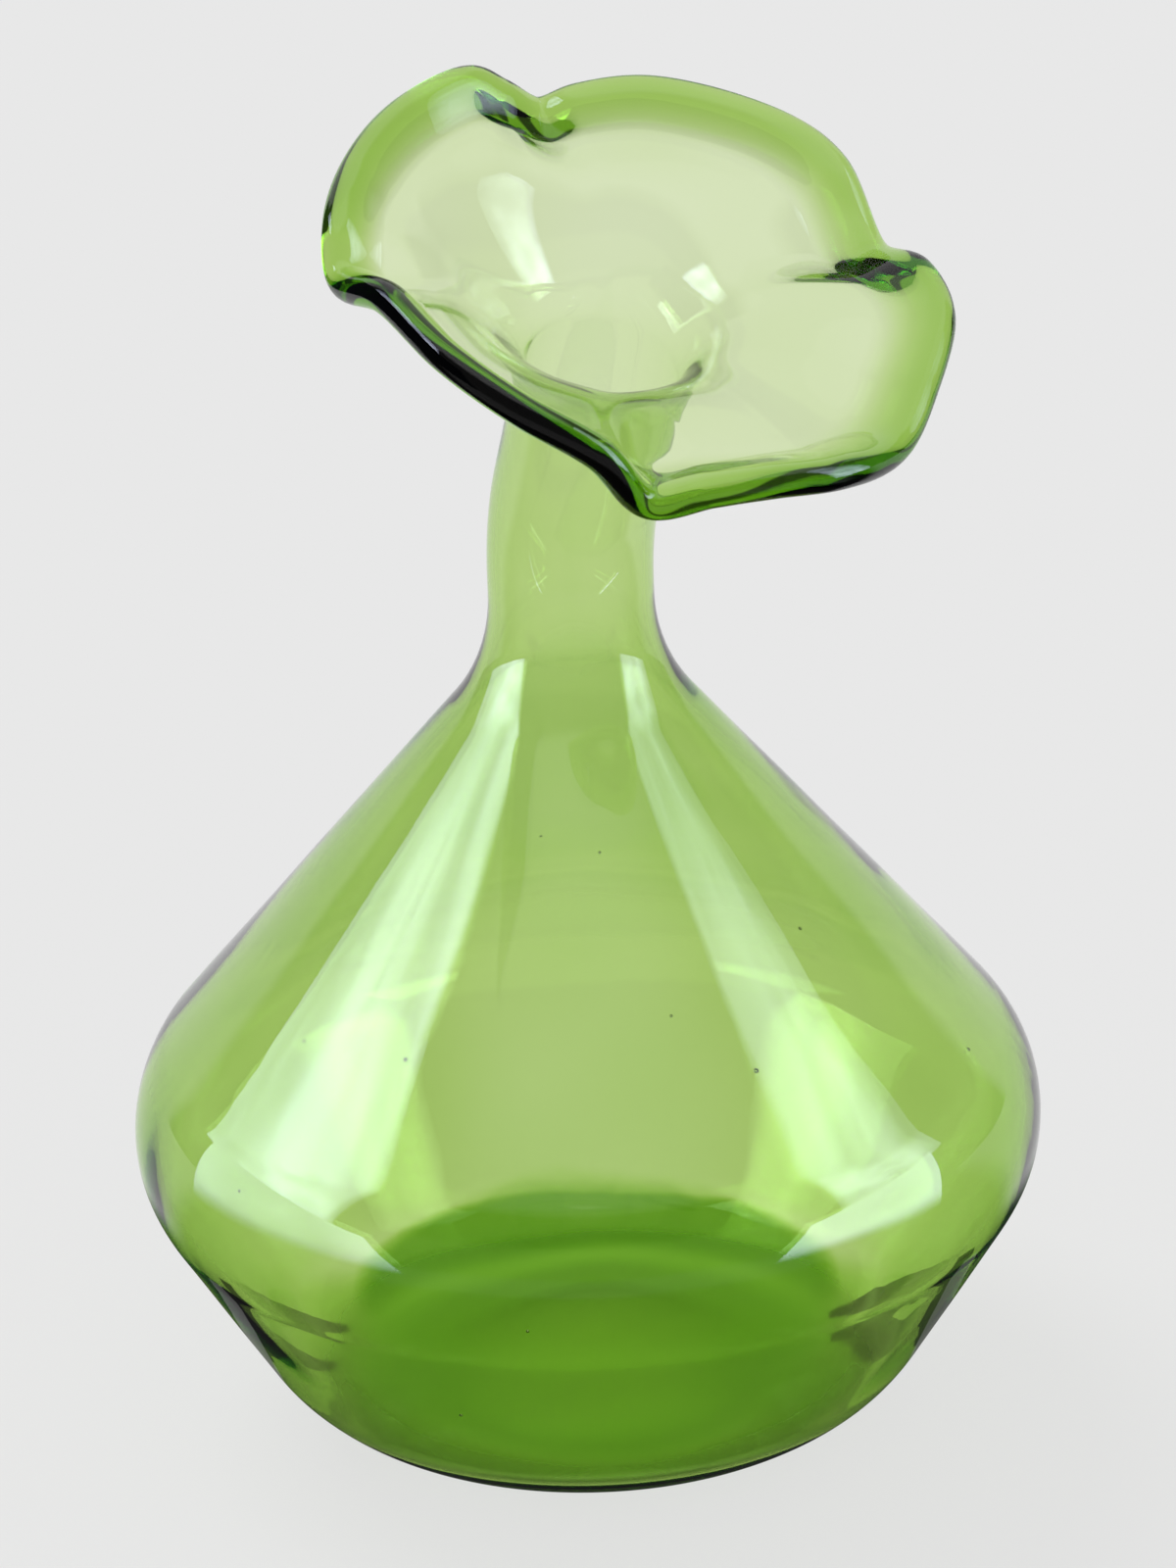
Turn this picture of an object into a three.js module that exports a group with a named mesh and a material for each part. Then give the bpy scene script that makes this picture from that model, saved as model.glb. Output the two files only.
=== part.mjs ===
import * as THREE from 'three';

// Angled neck vase: one hollow vessel of hand-blown green glass, with a ruffled mouth.
// Millimetres and degrees. +Z is up, -Y is the front and +X the right of the front.
// The origin is on the axis of the body, on the surface that the vase stands on.
// The six zones of the glass, base, belly, shoulder, neck, mouth and rim, meet face to face.

// Outside of the body. Its outline is straight runs, the underside, the lower cone, the
// upper cone and the neck, and each corner where two of them meet is rounded.
const heelRadius = 60.8;
const heelRounding = 37;
const girthRadius = 102;
const girthHeight = 67.5;
const girthRounding = 30;
const neckRootHeight = 167.3;
const neckRootRounding = 36;

// Hollow under the base, inside the flat ring that the vase stands on
const puntRadius = 32;
const puntDepth = 1.5;

// Thickness of the glass. The bead swells over its run by a power of a sine, and the neck's
// wall has thinned to the mouth's by a share of the way up the mouth.
const floorThickness = 7.5;
const floorRounding = 14;
const lowerWall = 3;
const upperWall = 2.6;
const neckWall = 2;
const mouthWall = 1.9;
const rimBead = 6.5;
const rimBeadRun = 12;
const rimBeadSwell = 2;
const thinnedByShare = 0.5;

// Where one zone ends and the next begins: the base at a height, the belly just above the
// widest line, and the shoulder below the corner where the neck takes off
const baseHeight = 18;
const girthSeamRise = 2.5;
const neckSeamDrop = 10;

// Neck: upright, then bent over towards a bearing right of the front, then straight
const neckRadius = 17;
const uprightNeck = 17;
const bendRadius = 46;
const neckTilt = 27;
const neckBearing = 23;
const leaningNeck = 31;

// Mouth, measured from the end of the leaning neck, the throat. Each wall line leaves the
// throat along the neck, spreads, and arrives at the rim along the lip. The spread is
// greater on one side of the mouth, the full side.
const mouthDepth = 24;
const throatRun = 12;
const spreadRun = 38;
const spreadRunExtra = 4;
const spreadAngle = 22;
const spreadAngleExtra = 15;
const fullSideBearing = 235;
const lipRun = 16;
const rimRadius = 58;

// Rim line: lobes and folds round the mouth. Each point has its bearing about the neck's
// axis, how far it lies outside rimRadius, how high over mouthDepth, and the lip's rise.
const rimPoints = [
  { bearing: 5, out: 3.8, up: 4, lip: 14 },
  { bearing: 18, out: 6.4, up: 3, lip: 14 },
  { bearing: 35, out: 5.9, up: -2, lip: 4 },
  { bearing: 50, out: 4.3, up: 0, lip: 8 },
  { bearing: 67, out: 4.7, up: 3, lip: 14 },
  { bearing: 79, out: 2.3, up: 2, lip: 10 },
  { bearing: 92, out: -1.1, up: -5, lip: -4 },
  { bearing: 111, out: 0.5, up: 2, lip: 12 },
  { bearing: 125, out: -0.6, up: 4, lip: 14 },
  { bearing: 152, out: -3.8, up: 4, lip: 14 },
  { bearing: 167, out: -4.1, up: 0.5, lip: 8 },
  { bearing: 175, out: -2.8, up: -4, lip: -3 },
  { bearing: 183, out: -0.8, up: 0.5, lip: 8 },
  { bearing: 189, out: 1, up: 4, lip: 14 },
  { bearing: 206, out: -0.3, up: 5, lip: 14 },
  { bearing: 227, out: -1.9, up: 6, lip: 14 },
  { bearing: 247, out: -1.7, up: 6, lip: 8 },
  { bearing: 257, out: -2.7, up: 1, lip: -4 },
  { bearing: 274, out: -5.9, up: 10, lip: 20 },
  { bearing: 297, out: -4.1, up: 13, lip: 30 },
  { bearing: 315, out: -2.5, up: 12, lip: 30 },
  { bearing: 332, out: -2, up: 7, lip: 20 },
  { bearing: 344, out: -1.8, up: -4, lip: 0 },
  { bearing: 355, out: 0.7, up: 1, lip: 8 },
];

// How finely the solids are faceted
const stepsAround = 72;
const stepsPerRounding = 6;
const stepsAcrossPunt = 3;
const stepsRoundBend = 5;
const stepsUpMouth = 9;
const stepsAlongBead = 4;
const stepsRoundEdge = 5;

// Glass colours, deeper where the glass is thicker
const baseColour = 0x6fa32a;
const bellyColour = 0x9cc262;
const shoulderColour = 0xa6c971;
const neckColour = 0xb4d28a;
const mouthColour = 0xc0d8a4;
const rimColour = 0x8fbd52;

const radians = THREE.MathUtils.degToRad;
const up = new THREE.Vector3(0, 0, 1);
const leanLevel = new THREE.Vector3(Math.sin(radians(neckBearing)), -Math.cos(radians(neckBearing)), 0);
const side = new THREE.Vector3().crossVectors(up, leanLevel);

// Where the two lines that carry two straight runs cross
function crossing(first, second) {
  const between = second.start.clone().sub(first.start);
  const share = between.cross(second.direction) / first.direction.cross(second.direction);
  return first.start.clone().addScaledVector(first.direction, share);
}

// The line of a straight run from one corner to the next, set in by the wall
function runSetIn(from, to, wall) {
  const direction = to.clone().sub(from).normalize();
  const inward = new THREE.Vector2(-direction.y, direction.x);
  return { start: from.clone().addScaledVector(inward, wall), direction };
}

// An outline through corners, each rounded by its own radius as far as its runs allow
function roundedOutline(corners, roundings) {
  const turns = corners.map((corner, i) => {
    if (!roundings[i]) return { tangent: 0 };
    const before = corner.clone().sub(corners[i - 1]).normalize();
    const after = corners[i + 1].clone().sub(corner).normalize();
    const angle = Math.acos(THREE.MathUtils.clamp(before.dot(after), -1, 1));
    return { before, after, angle, tangent: roundings[i] * Math.tan(angle / 2) };
  });
  for (let i = 1; i < corners.length; i += 1) {
    const wanted = turns[i - 1].tangent + turns[i].tangent;
    const length = corners[i].distanceTo(corners[i - 1]);
    if (wanted > length) {
      turns[i - 1].tangent *= length / wanted;
      turns[i].tangent *= length / wanted;
    }
  }
  return corners.flatMap((corner, i) => {
    const { before, after, angle, tangent } = turns[i];
    if (!tangent) return [corner];
    const start = corner.clone().addScaledVector(before, -tangent);
    const radius = tangent / Math.tan(angle / 2);
    const leftTurn = Math.sign(before.cross(after));
    const toCentre = new THREE.Vector2(-before.y, before.x).multiplyScalar(leftTurn * radius);
    const centre = start.clone().add(toCentre);
    return Array.from({ length: stepsPerRounding + 1 }, (_, step) => {
      const swept = (leftTurn * angle * step) / stepsPerRounding;
      return start.clone().rotateAround(centre, swept);
    });
  });
}

// The two parts of a rising outline, below and above a height
function cutAt(outline, height) {
  const next = outline.findIndex((point) => point.y > height);
  const [lower, upper] = [outline[next - 1], outline[next]];
  const seam = lower.clone().lerp(upper, (height - lower.y) / (upper.y - lower.y));
  seam.y = height;
  const below = outline.slice(0, next).filter((point) => point.y < height);
  return [[...below, seam], [seam, ...outline.slice(next)]];
}

// A solid turned about the body's axis from an outline of radius and height
function turned(outline) {
  return new THREE.LatheGeometry(outline, stepsAround).rotateX(Math.PI / 2);
}

// A closed skin over rings of points, each ring joined to the next and the last to the
// first. The last joint takes the other diagonal, so it fits the piece that it meets.
function skinOver(rings) {
  const count = stepsAround;
  const corners = [];
  rings.forEach((ring, i) => {
    const here = i * count;
    const next = ((i + 1) % rings.length) * count;
    const isLast = i === rings.length - 1;
    for (let j = 0; j < count; j += 1) {
      const k = (j + 1) % count;
      if (isLast) {
        corners.push(here + j, here + k, next + j, here + k, next + k, next + j);
      } else {
        corners.push(here + j, here + k, next + k, here + j, next + k, next + j);
      }
    }
  });
  const points = rings.flat().flatMap((point) => point.toArray());
  const geometry = new THREE.BufferGeometry();
  geometry.setAttribute('position', new THREE.Float32BufferAttribute(points, 3));
  geometry.setIndex(corners);
  geometry.computeVertexNormals();
  return geometry;
}

// Bearing about the neck's axis of each line of points that runs up the wall
const lineBearings = Array.from({ length: stepsAround }, (_, j) => {
  return radians(rimPoints[0].bearing) + (2 * Math.PI * j) / stepsAround;
});

// A round ring about a centre, square to the neck where it leans by a tilt
function neckRing(centre, tilt, radius) {
  const lean = leanLevel.clone().multiplyScalar(Math.cos(tilt)).addScaledVector(up, -Math.sin(tilt));
  return lineBearings.map((bearing) => {
    const point = centre.clone().addScaledVector(lean, radius * Math.cos(bearing));
    return point.addScaledVector(side, radius * Math.sin(bearing));
  });
}

// The neck's centre after it has bent over by a tilt
function bendCentre(tilt) {
  const height = neckRootHeight + uprightNeck + bendRadius * Math.sin(tilt);
  return leanLevel.clone().multiplyScalar(bendRadius * (1 - Math.cos(tilt))).setZ(height);
}

// The frame of the mouth: its origin is the throat, its third axis the leaning neck's
const fullTilt = radians(neckTilt);
const mouthAxis = leanLevel.clone().applyAxisAngle(side, fullTilt - Math.PI / 2);
const mouthLean = new THREE.Vector3().crossVectors(side, mouthAxis);
const throat = bendCentre(fullTilt).addScaledVector(mouthAxis, leaningNeck);
const mouthFrame = new THREE.Matrix4().makeBasis(mouthLean, side, mouthAxis).setPosition(throat);

// A point given by its bearing and distance from the mouth's axis and its height
function polar(bearing, distance, height) {
  return new THREE.Vector3(distance * Math.cos(bearing), distance * Math.sin(bearing), height);
}

// The rim line, and the line one lip run inside it that sets how the lip rises
const rimLine = new THREE.CatmullRomCurve3(rimPoints.map(({ bearing, out, up: rise }) => {
  return polar(radians(bearing), rimRadius + out, mouthDepth + rise);
}), true);
const lipLine = new THREE.CatmullRomCurve3(rimPoints.map(({ bearing, out, up: rise, lip }) => {
  const distance = rimRadius + out - lipRun * Math.cos(radians(lip));
  return polar(radians(bearing), distance, mouthDepth + rise - lipRun * Math.sin(radians(lip)));
}), true);

// The five control points of each line up the mouth's wall, which ends in the middle of the bead
const wallLines = lineBearings.map((bearing, j) => {
  const middle = neckRadius - neckWall / 2;
  const fullness = Math.cos(bearing - radians(fullSideBearing));
  const spread = radians(spreadAngle + spreadAngleExtra * fullness);
  const run = spreadRun + spreadRunExtra * fullness;
  return [
    polar(bearing, middle, 0),
    polar(bearing, middle, throatRun),
    polar(bearing, middle + run * Math.sin(spread), run * Math.cos(spread)),
    lipLine.getPoint(j / stepsAround),
    rimLine.getPoint(j / stepsAround),
  ];
});

// The point at a share of the way along the smooth curve that control points steer
function alongCurve(controls, share) {
  if (controls.length === 1) return controls[0];
  const closer = controls.slice(1).map((point, i) => controls[i].clone().lerp(point, share));
  return alongCurve(closer, share);
}

// The direction of that curve there
function curveDirection(controls, share) {
  const steps = controls.slice(1).map((point, i) => point.clone().sub(controls[i]));
  return alongCurve(steps, share).clone().normalize();
}

// The share at which the bead begins. A curve of five control points moves at four times
// its last leg, which is the lip run.
const beadStart = 1 - rimBeadRun / (4 * lipRun);

// How far outward of the wall line the outer and the inner face lie at a share of the way
// up. The neck's wall thins to the mouth's and drops level with the outer face of the bead,
// so that the bead swells on the inner face alone.
function faceOffsets(share) {
  const spread = Math.min(1, share / thinnedByShare);
  const intoBead = THREE.MathUtils.clamp((share - beadStart) / (1 - beadStart), 0, 1);
  const swell = Math.sin((Math.PI / 2) * intoBead) ** rimBeadSwell;
  const beadExtra = rimBead - mouthWall;
  const half = (THREE.MathUtils.lerp(neckWall, mouthWall, spread) + beadExtra * swell) / 2;
  const drop = (beadExtra / 2) * THREE.MathUtils.smoothstep(spread, 0, 1) * (1 - swell);
  return { outer: drop + half, inner: drop - half };
}

// The ring across the wall at a share of the way up: the wall line, the direction up it,
// the outward normal, and the outer and inner faces
function wallRing(share) {
  const middle = wallLines.map((controls) => alongCurve(controls, share).clone());
  const ahead = wallLines.map((controls) => curveDirection(controls, share));
  const outward = middle.map((_, j) => {
    const next = middle[(j + 1) % stepsAround];
    const last = middle[(j + stepsAround - 1) % stepsAround];
    return next.clone().sub(last).cross(ahead[j]).normalize();
  });
  const { outer, inner } = faceOffsets(share);
  const face = (offset) => middle.map((point, j) => {
    return point.clone().addScaledVector(outward[j], offset).applyMatrix4(mouthFrame);
  });
  return { middle, ahead, outward, outer: face(outer), inner: face(inner) };
}

// The round edge of the bead, from its outer face over to its inner face
function edgeRings() {
  const { middle, ahead, outward } = wallRing(1);
  return Array.from({ length: stepsRoundEdge - 1 }, (_, step) => {
    const turn = Math.PI / 2 - (Math.PI * (step + 1)) / stepsRoundEdge;
    return middle.map((point, j) => {
      const edge = point.clone().addScaledVector(ahead[j], (rimBead / 2) * Math.cos(turn));
      return edge.addScaledVector(outward[j], (rimBead / 2) * Math.sin(turn)).applyMatrix4(mouthFrame);
    });
  });
}

// Outer and inner outlines of the part that is round about the upright axis
const bendHeight = neckRootHeight + uprightNeck;
const outerCorners = [
  new THREE.Vector2(puntRadius, 0),
  new THREE.Vector2(heelRadius, 0),
  new THREE.Vector2(girthRadius, girthHeight),
  new THREE.Vector2(neckRadius, neckRootHeight),
  new THREE.Vector2(neckRadius, bendHeight),
];
const outerOutline = roundedOutline(outerCorners, [0, heelRounding, girthRounding, neckRootRounding, 0]);
const innerRuns = [floorThickness, lowerWall, upperWall, neckWall].map((wall, i) => {
  return runSetIn(outerCorners[i], outerCorners[i + 1], wall);
});
const innerCorners = [
  new THREE.Vector2(0, floorThickness),
  crossing(innerRuns[0], innerRuns[1]),
  crossing(innerRuns[1], innerRuns[2]),
  crossing(innerRuns[2], innerRuns[3]),
  new THREE.Vector2(neckRadius - neckWall, bendHeight),
];
const innerRoundings = [0, floorRounding, girthRounding - upperWall, neckRootRounding + upperWall, 0];
const innerOutline = roundedOutline(innerCorners, innerRoundings);

// The stretches of an outline that belong to the zones
function zonesOf(outline) {
  const [base, aboveBase] = cutAt(outline, baseHeight);
  const [belly, aboveGirth] = cutAt(aboveBase, girthHeight + girthSeamRise);
  const [shoulder, neck] = cutAt(aboveGirth, neckRootHeight - neckSeamDrop);
  return { base, belly, shoulder, neck };
}
const outside = zonesOf(outerOutline);
const inside = zonesOf(innerOutline);

// The thick bottom, from the hollow under it to the end of the heel
function baseGeometry() {
  const punt = Array.from({ length: stepsAcrossPunt }, (_, step) => {
    const share = step / stepsAcrossPunt;
    return new THREE.Vector2(puntRadius * share, puntDepth * (1 - share ** 2));
  });
  return turned([...punt, ...outside.base, ...inside.base.toReversed()]);
}

// A round band of the blown wall, between two level seams
function bandGeometry(outer, inner) {
  return turned([...outer, ...inner.toReversed(), outer[0]]);
}

// The upright root, the bend and the leaning stretch up to the throat
function neckGeometry(throatRing) {
  const upright = (outline) => outline.map(({ x: radius, y: height }) => {
    return neckRing(new THREE.Vector3(0, 0, height), 0, radius);
  });
  const bent = (radius) => Array.from({ length: stepsRoundBend }, (_, step) => {
    const tilt = (fullTilt * (step + 1)) / stepsRoundBend;
    return neckRing(bendCentre(tilt), tilt, radius);
  });
  const outer = [...upright(outside.neck), ...bent(neckRadius), throatRing.outer];
  const inner = [...upright(inside.neck), ...bent(neckRadius - neckWall), throatRing.inner];
  return skinOver([...outer, ...inner.reverse()]);
}

// A zone of the flared wall between two shares of the way up, with rings in between
function wallZone(rings, edge = []) {
  const outer = rings.map((ring) => ring.outer);
  const inner = rings.map((ring) => ring.inner);
  return skinOver([...outer, ...edge, ...inner.reverse()]);
}

function glass(name, geometry, colour) {
  const material = new THREE.MeshStandardMaterial({
    color: colour,
    roughness: 0.04,
    metalness: 0,
    transparent: true,
    opacity: 0.6,
  });
  const mesh = new THREE.Mesh(geometry, material);
  mesh.name = name;
  return mesh;
}

const mouthRings = Array.from({ length: stepsUpMouth + 1 }, (_, step) => {
  return wallRing((beadStart * step) / stepsUpMouth);
});
const beadRings = Array.from({ length: stepsAlongBead + 1 }, (_, step) => {
  if (step === 0) return mouthRings[stepsUpMouth];
  return wallRing(THREE.MathUtils.lerp(beadStart, 1, step / stepsAlongBead));
});

const vase = new THREE.Group();
vase.name = 'angled_neck_vase';
vase.add(glass('base', baseGeometry(), baseColour));
vase.add(glass('belly', bandGeometry(outside.belly, inside.belly), bellyColour));
vase.add(glass('shoulder', bandGeometry(outside.shoulder, inside.shoulder), shoulderColour));
vase.add(glass('neck', neckGeometry(mouthRings[0]), neckColour));
vase.add(glass('mouth', wallZone(mouthRings), mouthColour));
vase.add(glass('rim', wallZone(beadRings, edgeRings()), rimColour));

export default vase;
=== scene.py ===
"""Angled neck vase of hand-blown green glass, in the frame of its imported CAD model.

The vase is one closed skin of glass. Its zones, the round body, the bent neck and the ruffled
mouth with its thick bead, are made one after another from the same sizes as the CAD solids and
joined ring by ring. Lengths in the classes are millimetres and angles are degrees; the finished
mesh is in metres. +Z is up, -Y is the front and +X the right of the front.
"""

import logging
import math
from dataclasses import dataclass, field
from enum import Enum
from typing import NamedTuple

import bpy
import numpy as np
from mathutils import Matrix, Vector


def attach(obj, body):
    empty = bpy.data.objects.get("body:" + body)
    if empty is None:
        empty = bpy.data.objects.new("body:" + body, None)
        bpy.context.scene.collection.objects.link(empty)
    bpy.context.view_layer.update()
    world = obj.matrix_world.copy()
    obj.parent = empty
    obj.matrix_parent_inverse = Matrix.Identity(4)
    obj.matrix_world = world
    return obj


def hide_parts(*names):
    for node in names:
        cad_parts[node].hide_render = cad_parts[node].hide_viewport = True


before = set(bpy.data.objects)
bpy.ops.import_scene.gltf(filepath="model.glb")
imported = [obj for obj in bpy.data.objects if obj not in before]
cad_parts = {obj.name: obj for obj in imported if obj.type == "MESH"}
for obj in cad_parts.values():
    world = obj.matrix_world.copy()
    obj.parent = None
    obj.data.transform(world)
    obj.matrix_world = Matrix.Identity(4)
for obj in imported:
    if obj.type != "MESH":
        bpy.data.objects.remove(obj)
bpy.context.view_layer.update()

LOG = logging.getLogger("angled_neck_vase")
Socket = bpy.types.NodeSocket
METRES_PER_MM = 0.001
SHORTEST_LEG = 1e-4
SHORTEST_NORMAL = 1e-9
HALF_A_BOUNCE = 0.5
WHITE = (1.0, 1.0, 1.0, 1.0)
# Height and glow of the sheets of painted shade beside the foot, which only the glass shows.
PAINTED_SHADE_HEIGHT = 0.0004
PAINTED_SHADE_RADIANCE = 0.22


class Face(Enum):
    """The two faces of the glass wall."""

    OUTER = "outer"
    INNER = "inner"


class RimPoint(NamedTuple):
    """One point of the rim line: where it lies and how the lip rises there."""

    bearing: float
    out: float
    up: float
    lip: float


class Seed(NamedTuple):
    """A small bubble in the wall of the body: its bearing, its height and its radius."""

    bearing: float
    height: float
    radius: float


def eased(share: np.ndarray | float) -> np.ndarray | float:
    """A share that starts and ends smoothly, from 0 to 1."""
    return share * share * (3 - 2 * share)


def rounded_outline(corners: np.ndarray, roundings: list[float], steps: int) -> np.ndarray:
    """Rounds the corners of an outline as far as its straight runs allow.

    Args:
        corners: One row of radius and height for each corner.
        roundings: The radius of each corner, 0 where it stays sharp.
        steps: How many straight steps stand for each rounding.

    Returns:
        The rounded outline, one row of radius and height for each point.
    """
    before = np.zeros_like(corners)
    after = np.zeros_like(corners)
    angles = np.zeros(len(corners))
    tangents = np.zeros(len(corners))
    for i, rounding in enumerate(roundings):
        if not rounding:
            continue
        before[i] = corners[i] - corners[i - 1]
        before[i] /= np.linalg.norm(before[i])
        after[i] = corners[i + 1] - corners[i]
        after[i] /= np.linalg.norm(after[i])
        angles[i] = math.acos(float(np.clip(before[i] @ after[i], -1, 1)))
        tangents[i] = rounding * math.tan(angles[i] / 2)
    for i in range(1, len(corners)):
        wanted = tangents[i - 1] + tangents[i]
        length = float(np.linalg.norm(corners[i] - corners[i - 1]))
        if wanted > length:
            tangents[i - 1 : i + 1] *= length / wanted
    points: list[np.ndarray] = []
    for i, corner in enumerate(corners):
        if not tangents[i]:
            points.append(corner)
            continue
        start = corner - before[i] * tangents[i]
        radius = tangents[i] / math.tan(angles[i] / 2)
        turn = math.copysign(1, before[i][0] * after[i][1] - before[i][1] * after[i][0])
        centre = start + np.array([-before[i][1], before[i][0]]) * turn * radius
        for step in range(steps + 1):
            swept = turn * angles[i] * step / steps
            c, s = math.cos(swept), math.sin(swept)
            points.append(centre + np.array([[c, -s], [s, c]]) @ (start - centre))
    return np.array(points)


def with_closer_points(outline: np.ndarray, spacing: float) -> np.ndarray:
    """Adds points to the long straight runs of an outline.

    Args:
        outline: One row of radius and height for each point.
        spacing: The longest step that may stay.

    Returns:
        The outline with its long steps divided evenly.
    """
    points = [outline[0]]
    for start, end in zip(outline[:-1], outline[1:]):
        count = max(1, math.ceil(float(np.linalg.norm(end - start)) / spacing))
        points.extend(start + (end - start) * (k / count) for k in range(1, count + 1))
    return np.array(points)


def closed_spline(points: np.ndarray, count: int) -> np.ndarray:
    """Follows a closed centripetal Catmull-Rom line.

    Args:
        points: The points that the line passes.
        count: How many places along it are wanted.

    Returns:
        The places, evenly spread over the line's own parameter.
    """
    total = len(points)
    places = []
    for k in range(count):
        along = k / count * total
        i = int(along)
        w = along - i
        p0, p1, p2, p3 = (points[(i + n) % total] for n in (-1, 0, 1, 2))
        d0, d1, d2 = (
            max(SHORTEST_LEG, float(np.linalg.norm(end - start)) ** 0.5)
            for start, end in ((p0, p1), (p1, p2), (p2, p3))
        )
        t1 = ((p1 - p0) / d0 - (p2 - p0) / (d0 + d1) + (p2 - p1) / d1) * d1
        t2 = ((p2 - p1) / d1 - (p3 - p1) / (d1 + d2) + (p3 - p2) / d2) * d1
        cubic = (2 * p1 - 2 * p2 + t1 + t2) * w**3
        places.append(p1 + t1 * w + (3 * p2 - 3 * p1 - 2 * t1 - t2) * w**2 + cubic)
    return np.array(places)


def polar(bearing: np.ndarray, distance: np.ndarray, height: np.ndarray) -> np.ndarray:
    """Points given by bearing in radians, distance from the axis and height, as rows of x, y and z."""
    level = np.ones_like(bearing)
    return np.stack([distance * np.cos(bearing), distance * np.sin(bearing), height * level], axis=-1)


@dataclass
class BentNeck:
    """The narrow tube: upright, bent over towards a bearing right of the front, then straight."""

    radius: float = 17
    wall: float = 2
    root_height: float = 167.3
    upright: float = 17
    bend_radius: float = 46
    tilt: float = 27
    bearing: float = 23
    leaning: float = 31
    steps_round_bend: int = 16
    steps_along_leaning: int = 8

    def level_lean(self) -> np.ndarray:
        """The level direction that the neck leans to."""
        turn = math.radians(self.bearing)
        return np.array([math.sin(turn), -math.cos(turn), 0])

    def sideways(self) -> np.ndarray:
        """The level direction square to the lean."""
        return np.cross([0, 0, 1], self.level_lean())

    def axis(self, tilt: float) -> np.ndarray:
        """The direction of the tube where it has bent over by a tilt in radians."""
        return self.level_lean() * math.sin(tilt) + np.array([0, 0, math.cos(tilt)])

    def face_radius(self, face: Face) -> float:
        """The radius of the tube's outer or inner face."""
        return self.radius if face is Face.OUTER else self.radius - self.wall

    def bend_centre(self, tilt: float) -> np.ndarray:
        """The middle of the tube where it has bent over.

        Args:
            tilt: How far it has bent over, in radians.

        Returns:
            The point, x, y and z.
        """
        centre = self.level_lean() * self.bend_radius * (1 - math.cos(tilt))
        centre[2] = self.root_height + self.upright + self.bend_radius * math.sin(tilt)
        return centre

    def ring(self, centre: np.ndarray, tilt: float, radius: float, bearings: np.ndarray) -> np.ndarray:
        """A round ring of points square to the tube.

        Args:
            centre: The middle of the ring.
            tilt: How far the tube has bent over there, in radians.
            radius: The radius of the ring.
            bearings: The bearing of each point about the tube, in radians.

        Returns:
            One row of x, y and z for each point.
        """
        lean = self.level_lean() * math.cos(tilt) - np.array([0, 0, math.sin(tilt)])
        return (
            centre
            + radius * np.cos(bearings)[:, None] * lean
            + radius * np.sin(bearings)[:, None] * self.sideways()
        )

    def rings(self, face: Face, bearings: np.ndarray) -> list[np.ndarray]:
        """The rings round the bend and along the straight leaning stretch, short of the throat.

        Args:
            face: The face of the wall.
            bearings: The bearing of each point about the tube, in radians.

        Returns:
            The rings in order.
        """
        radius = self.face_radius(face)
        lean = math.radians(self.tilt)
        tilts = np.linspace(0, lean, self.steps_round_bend + 1)[1:]
        bend = [self.ring(self.bend_centre(tilt), tilt, radius, bearings) for tilt in tilts]
        end, count = self.bend_centre(lean), self.steps_along_leaning
        centres = [end + self.axis(lean) * self.leaning * k / count for k in range(1, count)]
        return bend + [self.ring(centre, lean, radius, bearings) for centre in centres]


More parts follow.
